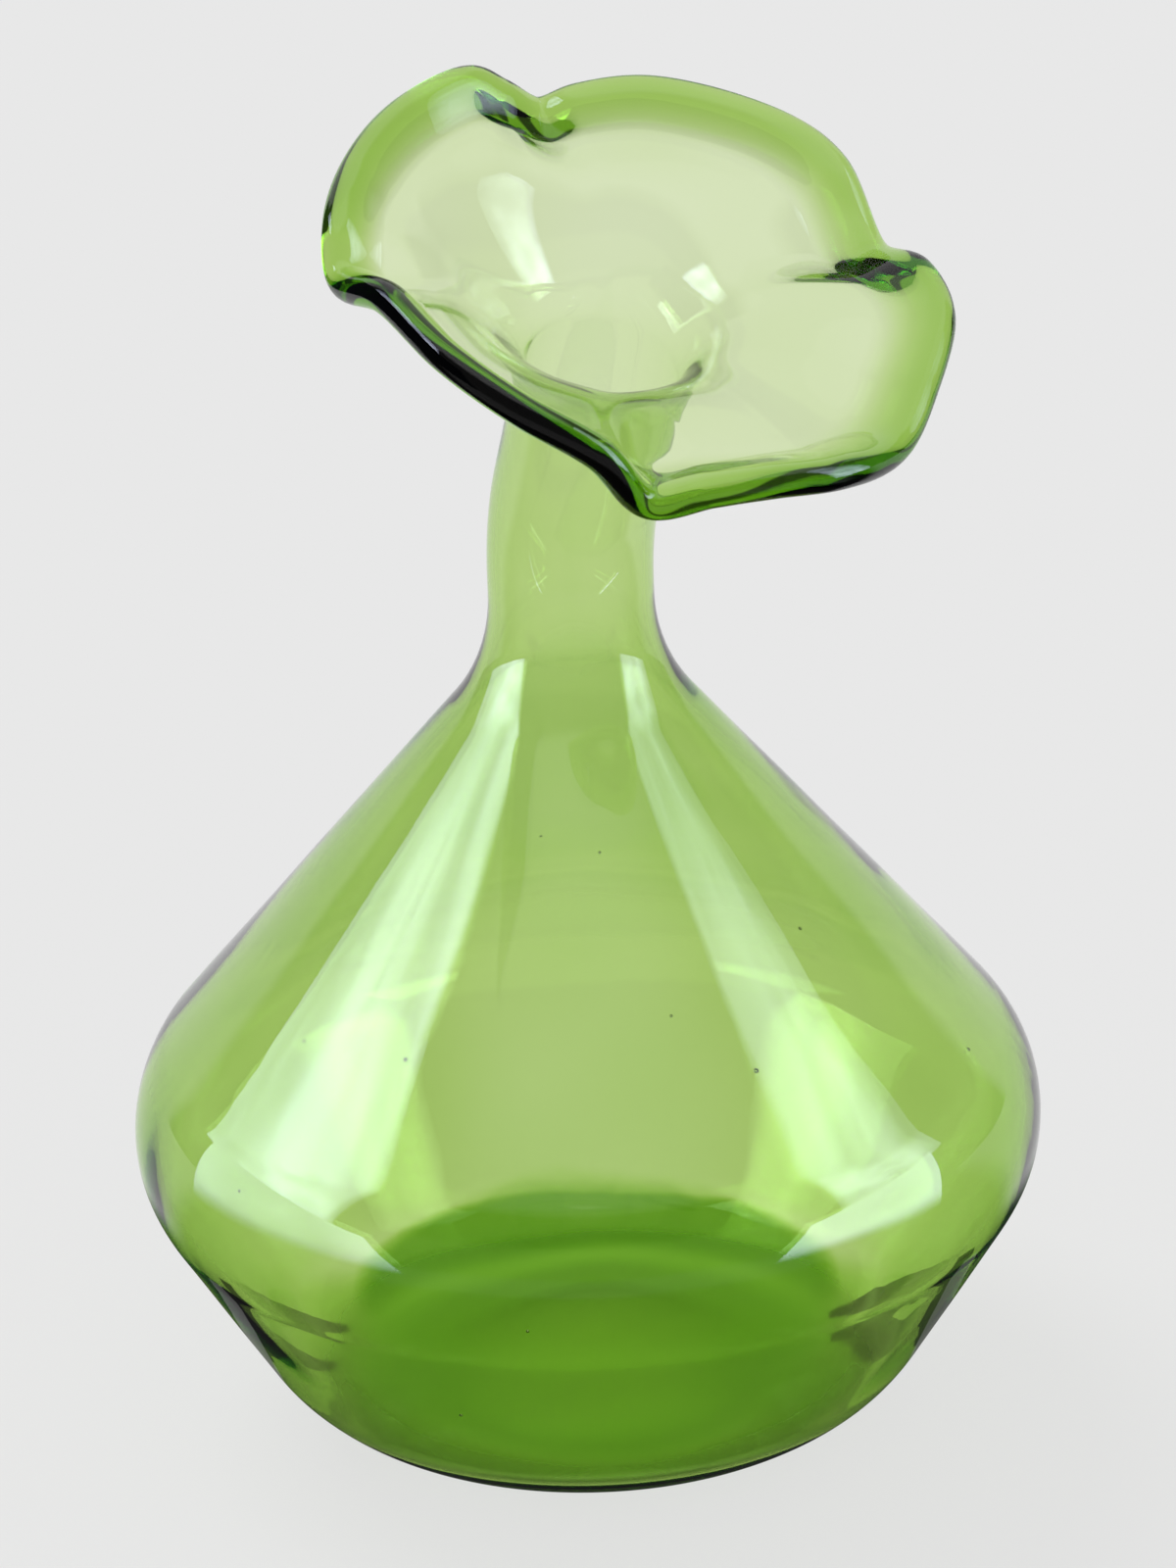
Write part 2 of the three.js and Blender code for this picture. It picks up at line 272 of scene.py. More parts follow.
@dataclass
class RoundBody:
    """The part that is round about the upright axis: punt, heel, belly, shoulder and neck root."""

    neck: BentNeck
    heel_radius: float = 60.8
    heel_rounding: float = 37
    girth_radius: float = 102
    girth_height: float = 67.5
    girth_rounding: float = 30
    neck_root_rounding: float = 36
    punt_radius: float = 32
    punt_depth: float = 1.5
    floor_thickness: float = 7.5
    floor_rounding: float = 14
    lower_wall: float = 3
    upper_wall: float = 2.6
    first_punt_share: float = 0.08
    first_floor_radius: float = 2.5
    steps_across_punt: int = 8
    steps_per_rounding: int = 32
    spacing: float = 2.5

    def outer_corners(self) -> np.ndarray:
        """The corners of the outer outline, from the foot ring to where the neck bends.

        Returns:
            One row of radius and height for each corner.
        """
        return np.array(
            [
                [self.punt_radius, 0],
                [self.heel_radius, 0],
                [self.girth_radius, self.girth_height],
                [self.neck.radius, self.neck.root_height],
                [self.neck.radius, self.neck.root_height + self.neck.upright],
            ]
        )

    def outer_outline(self) -> np.ndarray:
        """The outer outline with its corners rounded, from the centre of the punt.

        Returns:
            One row of radius and height for each point.
        """
        roundings = [0, self.heel_rounding, self.girth_rounding, self.neck_root_rounding, 0]
        outline = rounded_outline(self.outer_corners(), roundings, self.steps_per_rounding)
        share = np.linspace(self.first_punt_share, 1, self.steps_across_punt)[:-1]
        punt = np.stack([self.punt_radius * share, self.punt_depth * (1 - share**2)], axis=-1)
        return np.vstack([punt, with_closer_points(outline, self.spacing)])

    def inner_outline(self) -> np.ndarray:
        """The inner outline, each run set in by the wall there, from near the middle of the floor.

        Returns:
            One row of radius and height for each point.
        """
        outer = self.outer_corners()
        walls = [self.floor_thickness, self.lower_wall, self.upper_wall, self.neck.wall]
        starts, ways = [], []
        for i, wall in enumerate(walls):
            way = (outer[i + 1] - outer[i]) / np.linalg.norm(outer[i + 1] - outer[i])
            starts.append(outer[i] + np.array([-way[1], way[0]]) * wall)
            ways.append(way)
        corners = [np.array([0.0, self.floor_thickness])]
        for i in range(len(walls) - 1):
            between = starts[i + 1] - starts[i]
            across = ways[i][0] * ways[i + 1][1] - ways[i][1] * ways[i + 1][0]
            share = (between[0] * ways[i + 1][1] - between[1] * ways[i + 1][0]) / across
            corners.append(starts[i] + ways[i] * share)
        corners.append(np.array([self.neck.face_radius(Face.INNER), outer[-1][1]]))
        girth = self.girth_rounding - self.upper_wall
        root = self.neck_root_rounding + self.upper_wall
        roundings = [0, self.floor_rounding, girth, root, 0]
        outline = rounded_outline(np.array(corners), roundings, self.steps_per_rounding)
        outline[0][0] = self.first_floor_radius
        return with_closer_points(outline, self.spacing)


@dataclass
class RuffledMouth:
    """The flared mouth: a thin wall that spreads from the throat and ends in a thick round bead.

    The bead swells on the inner face alone, so the outer face drops level with it on the way up.
    """

    neck: BentNeck
    depth: float = 24
    wall: float = 1.9
    throat_run: float = 12
    spread_run: float = 38
    spread_run_extra: float = 4
    spread_angle: float = 22
    spread_angle_extra: float = 15
    full_side_bearing: float = 235
    lip_run: float = 16
    rim_radius: float = 58
    bead: float = 6.5
    bead_run: float = 12
    bead_swell: float = 2
    thinned_by_share: float = 0.5
    steps_up: int = 44
    steps_along_bead: int = 9
    steps_round_edge: int = 12
    rim_points: tuple[RimPoint, ...] = (
        RimPoint(5, 3.8, 4, 14),
        RimPoint(18, 6.4, 3, 14),
        RimPoint(35, 5.9, -2, 4),
        RimPoint(50, 4.3, 0, 8),
        RimPoint(67, 4.7, 3, 14),
        RimPoint(79, 2.3, 2, 10),
        RimPoint(92, -1.1, -5, -4),
        RimPoint(111, 0.5, 2, 12),
        RimPoint(125, -0.6, 4, 14),
        RimPoint(152, -3.8, 4, 14),
        RimPoint(167, -4.1, 0.5, 8),
        RimPoint(175, -2.8, -4, -3),
        RimPoint(183, -0.8, 0.5, 8),
        RimPoint(189, 1, 4, 14),
        RimPoint(206, -0.3, 5, 14),
        RimPoint(227, -1.9, 6, 14),
        RimPoint(247, -1.7, 6, 8),
        RimPoint(257, -2.7, 1, -4),
        RimPoint(274, -5.9, 10, 20),
        RimPoint(297, -4.1, 13, 30),
        RimPoint(315, -2.5, 12, 30),
        RimPoint(332, -2, 7, 20),
        RimPoint(344, -1.8, -4, 0),
        RimPoint(355, 0.7, 1, 8),
    )

    def bearings(self, count: int) -> np.ndarray:
        """The bearing of each line of points up the wall, in radians, from the first rim point's."""
        return math.radians(self.rim_points[0].bearing) + 2 * math.pi * np.arange(count) / count

    def line_inside_rim(self, inset: float, count: int) -> np.ndarray:
        """A closed line that lies a step inside the rim line, each point back along its lip.

        Args:
            inset: The step, 0 for the rim line, which runs along the middle of the bead.
            count: How many places along the line are wanted.

        Returns:
            One row for each place, in the mouth's own frame.
        """
        bearing, out, up, lip = np.array(self.rim_points).T
        distance = self.rim_radius + out - inset * np.cos(np.radians(lip))
        height = self.depth + up - inset * np.sin(np.radians(lip))
        return closed_spline(polar(np.radians(bearing), distance, height), count)

    def controls(self, count: int) -> np.ndarray:
        """The five control points of each line up the middle of the wall.

        Args:
            count: How many lines there are round the mouth.

        Returns:
            An array of 5 x count points in the mouth's own frame.
        """
        bearing = self.bearings(count)
        middle = self.neck.radius - self.neck.wall / 2
        fullness = np.cos(bearing - math.radians(self.full_side_bearing))
        spread = np.radians(self.spread_angle + self.spread_angle_extra * fullness)
        run = self.spread_run + self.spread_run_extra * fullness
        level = np.ones(count)
        return np.stack(
            [
                polar(bearing, middle * level, 0 * level),
                polar(bearing, middle * level, self.throat_run * level),
                polar(bearing, middle + run * np.sin(spread), run * np.cos(spread)),
                self.line_inside_rim(self.lip_run, count),
                self.line_inside_rim(0, count),
            ]
        )

    def bead_start(self) -> float:
        """The share of the way up at which the bead begins: the curve has five points, so four legs."""
        return 1 - self.bead_run / (4 * self.lip_run)

    def swell(self, share: float) -> float:
        """How much of the bead there is at a share of the way up.

        Args:
            share: The share, 0 at the throat and 1 at the rim.

        Returns:
            0 below the bead, up to 1 where it is full.
        """
        start = self.bead_start()
        into_bead = min(1, max(0, (share - start) / (1 - start)))
        return math.sin(math.pi / 2 * into_bead) ** self.bead_swell

    def faces(self, share: float) -> tuple[float, float]:
        """How far the outer and the inner face lie from the middle line at a share of the way up.

        Args:
            share: The share, 0 at the throat and 1 at the rim.

        Returns:
            The distance outward of the outer face, and inward of the inner face.
        """
        spread = min(1, share / self.thinned_by_share)
        thinned = self.neck.wall + (self.wall - self.neck.wall) * spread
        bead_extra = self.bead - self.wall
        half = (thinned + bead_extra * self.swell(share)) / 2
        drop = bead_extra / 2 * eased(spread) * (1 - self.swell(share))
        return half + drop, half - drop

    def along(self, controls: np.ndarray, share: float) -> tuple[np.ndarray, np.ndarray, np.ndarray]:
        """The middle of the wall at a share of the way up.

        Args:
            controls: The control points from controls().
            share: The share, 0 at the throat and 1 at the rim.

        Returns:
            The points, the unit directions up the wall, and the unit outward normals.
        """
        points = controls
        while len(points) > 2:
            points = points[:-1] * (1 - share) + points[1:] * share
        ahead = points[1] - points[0]
        ahead /= np.linalg.norm(ahead, axis=1)[:, None]
        middle = points[0] * (1 - share) + points[1] * share
        outward = np.cross(np.roll(middle, -1, axis=0) - np.roll(middle, 1, axis=0), ahead)
        outward /= np.linalg.norm(outward, axis=1)[:, None]
        return middle, ahead, outward

    def place(self, points: np.ndarray) -> np.ndarray:
        """Sets points of the mouth's own frame in place at the end of the leaning neck.

        Args:
            points: One row of x, y and z for each point, in the mouth's own frame.

        Returns:
            The points in the frame of the vase.
        """
        tilt = math.radians(self.neck.tilt)
        axis = self.neck.axis(tilt)
        side = self.neck.sideways()
        lean = np.cross(side, axis)
        throat = self.neck.bend_centre(tilt) + axis * self.neck.leaning
        return throat + points[:, :1] * lean + points[:, 1:2] * side + points[:, 2:] * axis

    def rings(self, count: int) -> list[np.ndarray]:
        """All rings from the throat up the outer face, over the edge and down the inner face.

        Args:
            count: How many points each ring has.

        Returns:
            The rings in order, each with one row of x, y and z for each point.
        """
        controls = self.controls(count)
        start = self.bead_start()
        shares = list(np.linspace(0, start, self.steps_up + 1))
        shares += list(np.linspace(start, 1, self.steps_along_bead + 1)[1:])
        outer, inner = [], []
        for share in shares:
            middle, ahead, outward = self.along(controls, share)
            out, within = self.faces(share)
            outer.append(self.place(middle + outward * out))
            inner.append(self.place(middle - outward * within))
        edge = []
        for step in range(1, self.steps_round_edge):
            turn = math.pi / 2 - math.pi * step / self.steps_round_edge
            over = ahead * math.cos(turn) + outward * math.sin(turn)
            edge.append(self.place(middle + over * self.bead / 2))
        return outer + edge + inner[::-1]


class Wiring:
    """A node tree with short ways to add and join the nodes of a finish."""

    def __init__(self, tree: bpy.types.NodeTree) -> None:
        """Takes hold of a node tree."""
        self.tree = tree

    def add(
        self, kind: str, fed: dict[str | int, object] | None = None, **settings: object
    ) -> bpy.types.Node:
        """Adds a node.

        Args:
            kind: The node's type.
            fed: What its inputs get, by name or place: sockets, numbers or colours.
            **settings: The settings to give their values.

        Returns:
            The node.
        """
        node = self.tree.nodes.new(kind)
        for name, value in settings.items():
            setattr(node, name, value)
        for key, value in (fed or {}).items():
            self.feed(node.inputs[key], value)
        return node

    def feed(self, socket: Socket, value: object) -> None:
        """Joins an input to another node's output, or gives it a number or colour.

        Args:
            socket: The input.
            value: The output, number or colour.
        """
        if isinstance(value, Socket):
            self.tree.links.new(value, socket)
        else:
            socket.default_value = value

    def maths(self, operation: str, *values: object) -> Socket:
        """The result of a Math node's operation on its inputs, each a socket or a number."""
        return self.add("ShaderNodeMath", dict(enumerate(values)), operation=operation).outputs["Value"]

    def times(self, first: object, second: object) -> Socket:
        """The product of two values."""
        return self.maths("MULTIPLY", first, second)

    def rest(self, share: object) -> Socket:
        """What is left of 1 after a share."""
        return self.maths("SUBTRACT", 1.0, share)

    def none_yet(self, bounces: Socket) -> Socket:
        """1 where a count of bounces is still 0, else 0."""
        return self.maths("LESS_THAN", bounces, HALF_A_BOUNCE)

    def ramp(self, value: Socket, low: float, high: float) -> Socket:
        """A value that goes smoothly from 0 at one limit to 1 at the other."""
        limits = {"Value": value, "From Min": low, "From Max": high}
        return self.add("ShaderNodeMapRange", limits, interpolation_type="SMOOTHSTEP").outputs["Result"]

    def between(self, share: Socket, start: object, end: object) -> Socket:
        """The value at a share of the way from one value to another."""
        return self.maths("ADD", self.times(share, end), self.times(self.rest(share), start))

    def from_eye(self, path: bpy.types.bpy_prop_collection, kind: str) -> Socket:
        """1 for a ray of a kind that has met only glass on its way from the camera, else 0."""
        return self.times(path[kind], self.none_yet(path["Diffuse Depth"]))

    def mirror_ray(self, path: bpy.types.bpy_prop_collection) -> Socket:
        """1 for a ray that last bounced off a polished face, 0 for one that came through it."""
        return self.times(path["Is Glossy Ray"], self.rest(path["Is Transmission Ray"]))

    def apart(self, vector: Socket) -> tuple[Socket, ...]:
        """The x, y and z of a vector, each on its own."""
        return tuple(self.add("ShaderNodeSeparateXYZ", {"Vector": vector}).outputs)

    def position(self) -> Socket:
        """The point that is being shaded, in metres."""
        return self.add("ShaderNodeNewGeometry").outputs["Position"]

    def generated(self) -> Socket:
        """The point's share of the object's box, or the direction in the world."""
        return self.add("ShaderNodeTexCoord").outputs["Generated"]

    def length(self, x: Socket, y: Socket) -> Socket:
        """How far a point of two coordinates is from their origin."""
        return self.maths("SQRT", self.maths("ADD", self.times(x, x), self.times(y, y)))

    def emission(self, strength: object, colour: object = WHITE) -> Socket:
        """An emission shader of a strength and a colour, each a socket or a value."""
        return self.add("ShaderNodeEmission", {"Color": colour, "Strength": strength}).outputs["Emission"]

    def mixed(self, share: object, first: Socket, second: Socket) -> Socket:
        """A mix of two shaders, all of the second at a share of 1."""
        return self.add("ShaderNodeMixShader", {0: share, 1: first, 2: second}).outputs["Shader"]


def linked(name: str, data: bpy.types.ID) -> bpy.types.Object:
    """Makes an object that shows a mesh, lamp or camera, and links it to the scene.

    Args:
        name: The object's name.
        data: The mesh, lamp or camera.

    Returns:
        The object.
    """
    made = bpy.data.objects.new(name, data)
    bpy.context.scene.collection.objects.link(made)
    return made


def stage_sheet(name: str, corners: list[tuple], material: bpy.types.Material) -> bpy.types.Object:
    """Builds one flat face that belongs to the stage and not to the vase.

    Args:
        name: Its name.
        corners: The x, y and z of each corner, in metres.
        material: Its material.

    Returns:
        The object.
    """
    mesh = bpy.data.meshes.new(name)
    mesh.from_pydata(corners, [], [tuple(range(len(corners)))])
    mesh.materials.append(material)
    made = linked(name, mesh)
    return made


@dataclass(frozen=True)
class GreenGlass:
    """Clear green glass with a fire-polished skin, deeper green where it is thick.

    The foot that it stands on is worn to a satin finish, and faint cords run up the skin.
    """

    name: str = "green_glass"
    refraction: float = 1.5
    absorbed_per_metre: tuple[float, float, float] = (140.0, 71.0, 308.0)
    worn_roughness: float = 0.5
    worn_between: tuple[float, float] = (0.002, 0.008)
    cord_scale: float = 55.0
    cord_stretch: tuple[float, float, float] = (1.0, 1.0, 0.4)
    cord_detail: float = 2.0
    cord_twist: float = 0.6
    cord_height: float = 0.00005
    density_over_strongest: float = 1.1

    def corded(self, wiring: Wiring) -> Socket:
        """Tilts the skin a little with the faint cords that the blowing leaves in it.

        Args:
            wiring: The material's node tree.

        Returns:
            The tilted normal.
        """
        stretch = {"Vector": wiring.position(), "Scale": self.cord_stretch}
        noise = {
            "Vector": wiring.add("ShaderNodeMapping", stretch).outputs["Vector"],
            "Scale": self.cord_scale,
            "Detail": self.cord_detail,
            "Distortion": self.cord_twist,
        }
        cords = wiring.add("ShaderNodeTexNoise", noise).outputs["Fac"]
        bump = wiring.add("ShaderNodeBump", {"Height": cords, "Distance": self.cord_height})
        return bump.outputs["Normal"]

    def material(self) -> bpy.types.Material:
        """Makes the glass.

        Returns:
            The material, with its tint in the volume.
        """
        made = bpy.data.materials.new(self.name)
        made.use_nodes = True
        wiring = Wiring(made.node_tree)
        shader = made.node_tree.nodes["Principled BSDF"]
        shader.inputs["Base Color"].default_value = WHITE
        shader.inputs["IOR"].default_value = self.refraction
        shader.inputs["Transmission Weight"].default_value = 1.0
        clear = wiring.ramp(wiring.apart(wiring.position())[2], *self.worn_between)
        wiring.feed(shader.inputs["Roughness"], wiring.between(clear, self.worn_roughness, 0.0))
        wiring.feed(shader.inputs["Normal"], self.corded(wiring))
        density = max(self.absorbed_per_metre) * self.density_over_strongest
        tint = [1 - taken / density for taken in self.absorbed_per_metre]
        volume = wiring.add("ShaderNodeVolumeAbsorption", {"Color": (*tint, 1), "Density": density})
        wiring.feed(made.node_tree.nodes["Material Output"].inputs["Volume"], volume.outputs["Volume"])
        return made


@dataclass(frozen=True)
class PaleTable:
    """The plain pale table top, and what the glass shows of it.

    To the eye it is one pale tone with the vase's soft shadow. Through the glass it is pale too,
    brighter under the foot as a painted pool of light, and green under, behind and beside the foot
    as a painted green shadow of the vase, as if its light had passed the glass once before. The
    outer skin mirrors a painted reflection of it: dark close by as painted shade, and pale behind
    and further off.
    """

    name: str = "pale_table"
    pale: float = 0.807
    glow_to_eye: float = 0.86
    pale_through_glass: float = 0.88
    # Painted pool of light: through the glass the table glows brighter under the foot.
    painted_light_under_foot: float = 1.2
    shade_middle: float = 0.030
    shade_half_width: float = 0.058
    shade_half_depth: float = 0.080
    shade_fades_between: tuple[float, float] = (0.82, 1.0)
    # Painted green shadow of the vase: the glass that the table's light is taken to have passed, behind,
    # under and beside the foot.
    painted_shadow_glass_behind: float = 0.0102
    painted_shadow_glass_under_foot: float = 0.0030
    painted_shadow_glass_beside: float = 0.0033
    beside_fades_between: tuple[float, float] = (0.050, 0.092)
    beside_ends_between: tuple[float, float] = (0.028, 0.055)
    beside_starts_between: tuple[float, float] = (-0.040, -0.005)
    share_in_front: float = 0.5
    foot_edge: tuple[float, float] = (0.047, 0.062)
    # Painted reflection of the table in the outer skin, with painted shade close by.
    mirrored_dark: float = 0.03
    mirrored_pale: float = 0.78
    mirrored_in_front: float = 0.25
    dark_out_to: tuple[float, float] = (0.125, 0.165)
    pale_behind: tuple[float, float] = (0.10, 0.35)
    pale_in_front_from: tuple[float, float] = (0.30, 0.42)

    def painted_view_through_glass(self, wiring: Wiring, glass: GreenGlass) -> Socket:
        """What is seen of the table through the glass: a painted green shadow of the vase and a painted
        pool of light under the foot.

        Args:
            wiring: The material's node tree.
            glass: The glass that tints the table's light.

        Returns:
            The shader.
        """
        x, y, _ = wiring.apart(wiring.position())
        across = wiring.maths("DIVIDE", x, self.shade_half_width)
        back = wiring.maths("DIVIDE", wiring.maths("SUBTRACT", y, self.shade_middle), self.shade_half_depth)
        outside = wiring.ramp(wiring.length(across, back), *self.shade_fades_between)
        beyond_foot = wiring.ramp(wiring.length(x, y), *self.foot_edge)
        # Painted green shadow: the tint deepens with the glass that the table's light is taken to have
        # passed.
        passed = wiring.between(beyond_foot, self.painted_shadow_glass_under_foot, self.painted_shadow_glass_behind)
        passed = wiring.times(passed, wiring.rest(outside))
        too_wide = wiring.ramp(wiring.maths("ABSOLUTE", x), *self.beside_fades_between)
        too_far_back = wiring.ramp(y, *self.beside_ends_between)
        beside = wiring.times(wiring.rest(too_wide), wiring.rest(too_far_back))
        past_front = wiring.ramp(y, *self.beside_starts_between)
        beside = wiring.times(beside, wiring.between(past_front, self.share_in_front, 1.0))
        passed = wiring.maths("MAXIMUM", passed, wiring.times(beside, self.painted_shadow_glass_beside))
        colour = wiring.add("ShaderNodeCombineColor")
        for socket, absorbed in zip(colour.inputs, glass.absorbed_per_metre):
            wiring.feed(socket, wiring.maths("EXPONENT", wiring.times(passed, -absorbed)))
        # Painted pool of light under the foot.
        strength = wiring.between(beyond_foot, self.painted_light_under_foot, self.pale_through_glass)
        return wiring.emission(strength, colour.outputs["Color"])

    def mirrored(self, wiring: Wiring) -> Socket:
        """What the outer skin mirrors of the table: a painted reflection, dark close by as painted shade,
        pale behind and further off.

        Args:
            wiring: The material's node tree.

        Returns:
            The shader.
        """
        x, y, _ = wiring.apart(wiring.position())
        distance = wiring.length(x, y)
        towards_back = wiring.maths("DIVIDE", y, distance)
        behind = wiring.ramp(towards_back, *self.pale_behind)
        near_lit = wiring.times(wiring.ramp(distance, *self.dark_out_to), behind)
        in_front = wiring.ramp(wiring.times(towards_back, -1.0), *self.pale_behind)
        far_lit = wiring.times(wiring.ramp(distance, *self.pale_in_front_from), in_front)
        # Painted shade: the mirrored table is dark close to the vase, pale behind and further off.
        behind_tone = wiring.between(near_lit, self.mirrored_dark, self.mirrored_pale)
        front_tone = wiring.between(far_lit, self.mirrored_dark, self.mirrored_in_front)
        return wiring.emission(wiring.maths("MAXIMUM", behind_tone, front_tone))

    def material(self, glass: GreenGlass) -> bpy.types.Material:
        """Makes the table's matt finish, with the painted shadow and pool of light that the glass shows and
        the painted reflection that the outer skin mirrors.

        Args:
            glass: The glass that stands on the table.

        Returns:
            The material.
        """
        made = bpy.data.materials.new(self.name)
        made.use_nodes = True
        wiring = Wiring(made.node_tree)
        path = wiring.add("ShaderNodeLightPath").outputs
        matt = made.node_tree.nodes["Principled BSDF"]
        matt.inputs["Base Color"].default_value = (self.pale, self.pale, self.pale, 1)
        matt.inputs["Roughness"].default_value = 1.0
        matt.inputs["Specular IOR Level"].default_value = 0.0
        share = wiring.times(path["Is Camera Ray"], self.glow_to_eye)
        plain = wiring.mixed(share, matt.outputs["BSDF"], wiring.emission(self.pale))
        came_through = wiring.from_eye(path, "Is Transmission Ray")
        through = wiring.mixed(came_through, plain, self.painted_view_through_glass(wiring, glass))
        whole = wiring.mixed(wiring.mirror_ray(path), through, self.mirrored(wiring))
        wiring.feed(made.node_tree.nodes["Material Output"].inputs["Surface"], whole)
        return made


class Wave(NamedTuple):
    """One ripple across the glass: its direction, its length and where it starts."""

    x: float
    y: float
    z: float
    length: float
    start: float

    def at(self, points: np.ndarray) -> np.ndarray:
        """How high the ripple is at each point, from -1 to 1."""
        way = np.array([self.x, self.y, self.z])
        return np.sin(points @ (way / np.linalg.norm(way)) * 2 * math.pi / self.length + self.start)


@dataclass
class HandBlown:
    """The unevenness of glass shaped by hand: a slightly rippled skin, and a few seeds of air."""

    outer_height: float = 0.07
    inner_height: float = 0.07
    calm_up_to: float = 3
    rippled_from: float = 22
    seed_steps_around: int = 16
    seed_steps_up: int = 8
    outer_waves: tuple[Wave, ...] = (
        Wave(1, 0.2, 0.5, 34, 0.4),
        Wave(-0.4, 1, 0.3, 41, 2.1),
        Wave(0.5, -0.6, 1, 52, 4.4),
        Wave(1, 0.9, -0.7, 27, 1.2),
    )
    inner_waves: tuple[Wave, ...] = (
        Wave(1, -0.3, 0.4, 39, 3.0),
        Wave(0.2, 1, -0.5, 33, 0.9),
        Wave(0.7, 0.4, 1, 58, 5.3),
        Wave(-1, 0.8, 0.6, 29, 2.6),
    )
    seeds: tuple[Seed, ...] = (
        Seed(-121, 104, 0.42),
        Seed(-62, 101, 0.50),
        Seed(-74, 112, 0.32),
        Seed(-20, 88, 0.45),
        Seed(-98, 60, 0.34),
        Seed(-140, 76, 0.30),
        Seed(-84, 139, 0.30),
        Seed(-47, 45, 0.36),
        Seed(-110, 33, 0.40),
        Seed(12, 120, 0.38),
        Seed(58, 71, 0.44),
        Seed(97, 96, 0.36),
        Seed(134, 52, 0.40),
        Seed(171, 110, 0.46),
    )

    def ripple(self, points: np.ndarray, face: Face) -> np.ndarray:
        """How far each point of a face is pushed out along its normal.

        Args:
            points: One row of x, y and z for each point.
            face: The face that they are on.

        Returns:
            One distance for each point, none near the foot, which stays flat.
        """
        waves, height = {
            Face.OUTER: (self.outer_waves, self.outer_height),
            Face.INNER: (self.inner_waves, self.inner_height),
        }[face]
        total = sum(wave.at(points) for wave in waves) / math.sqrt(len(waves))
        share = np.clip((points[:, 2] - self.calm_up_to) / (self.rippled_from - self.calm_up_to), 0, 1)
        return height * total * eased(share)


